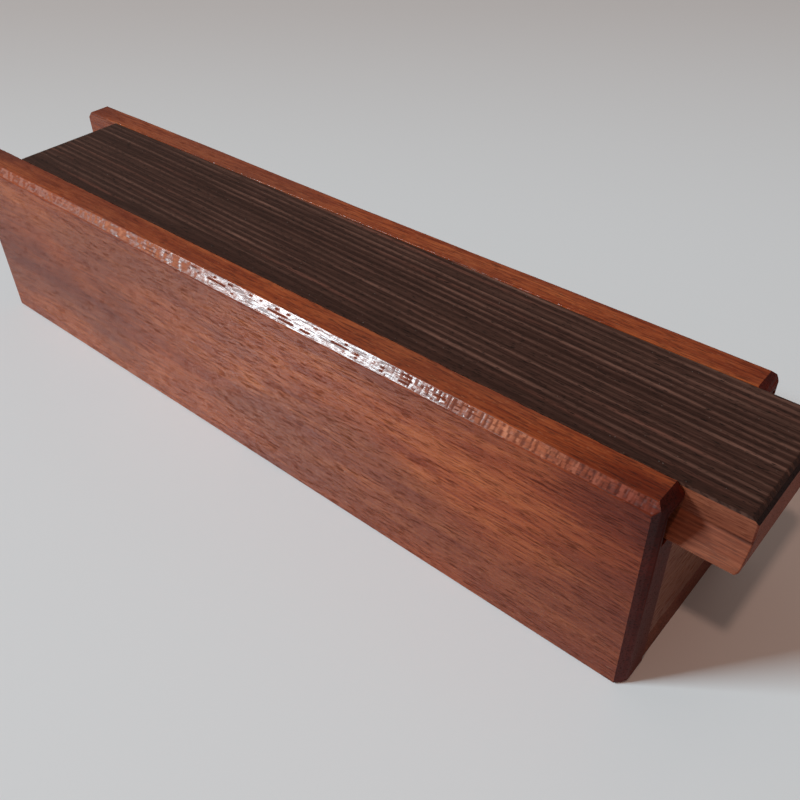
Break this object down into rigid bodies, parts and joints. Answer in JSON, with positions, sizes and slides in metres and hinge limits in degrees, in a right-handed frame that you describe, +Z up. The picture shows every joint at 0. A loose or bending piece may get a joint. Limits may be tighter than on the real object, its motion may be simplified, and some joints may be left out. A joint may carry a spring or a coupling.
{
  "type": "puzzle box",
  "caption": "Long wooden keepsake box with a dark striped lid that slides out between chamfered walls, held by a hidden bar that moves when the box is tipped.",
  "frame": {"origin": "centre of the underside, between the walls' four lower corners", "axes": "+X along the box, the way the lid opens; +Y across it, away from the viewer; +Z up"},
  "size_m": [0.2295, 0.048, 0.05],
  "materials": {
    "sapele": "planed and oiled, with open pores",
    "sapele_panel": "planed and oiled",
    "wenge": "sawn veneer with open striped grain",
    "beech": "turned dowel",
    "brass": "filed plate",
    "steel": "turned"
  },
  "bodies": {
    "box": {"near_wall": "sapele", "far_wall": "sapele", "base_board": "sapele_panel", "left_end_panel": "sapele_panel", "right_end_panel": "sapele_panel", "left_end_dowels": "beech", "right_end_dowels": "beech", "block_dowels": "beech", "lock_block": "sapele_panel", "lock_cover": "brass", "cover_screws": "steel"},
    "lid": {"lid_core": "sapele", "lid_veneer": "wenge", "near_runner": "sapele", "far_runner": "sapele", "gate_plate": "brass", "gate_screws": "steel"},
    "lock": {"lock_bar": "brass", "lock_peg": "steel"}
  },
  "joints": [
    {"name": "lid_slide", "type": "slide", "parent": "box", "child": "lid", "axis": [1, 0, 0], "range_m": [-0.013, 0.172]},
    {"name": "lock_slide", "type": "slide", "parent": "box", "child": "lock", "axis": [0, -1, 0], "range_m": [0, 0.006]}
  ]
}
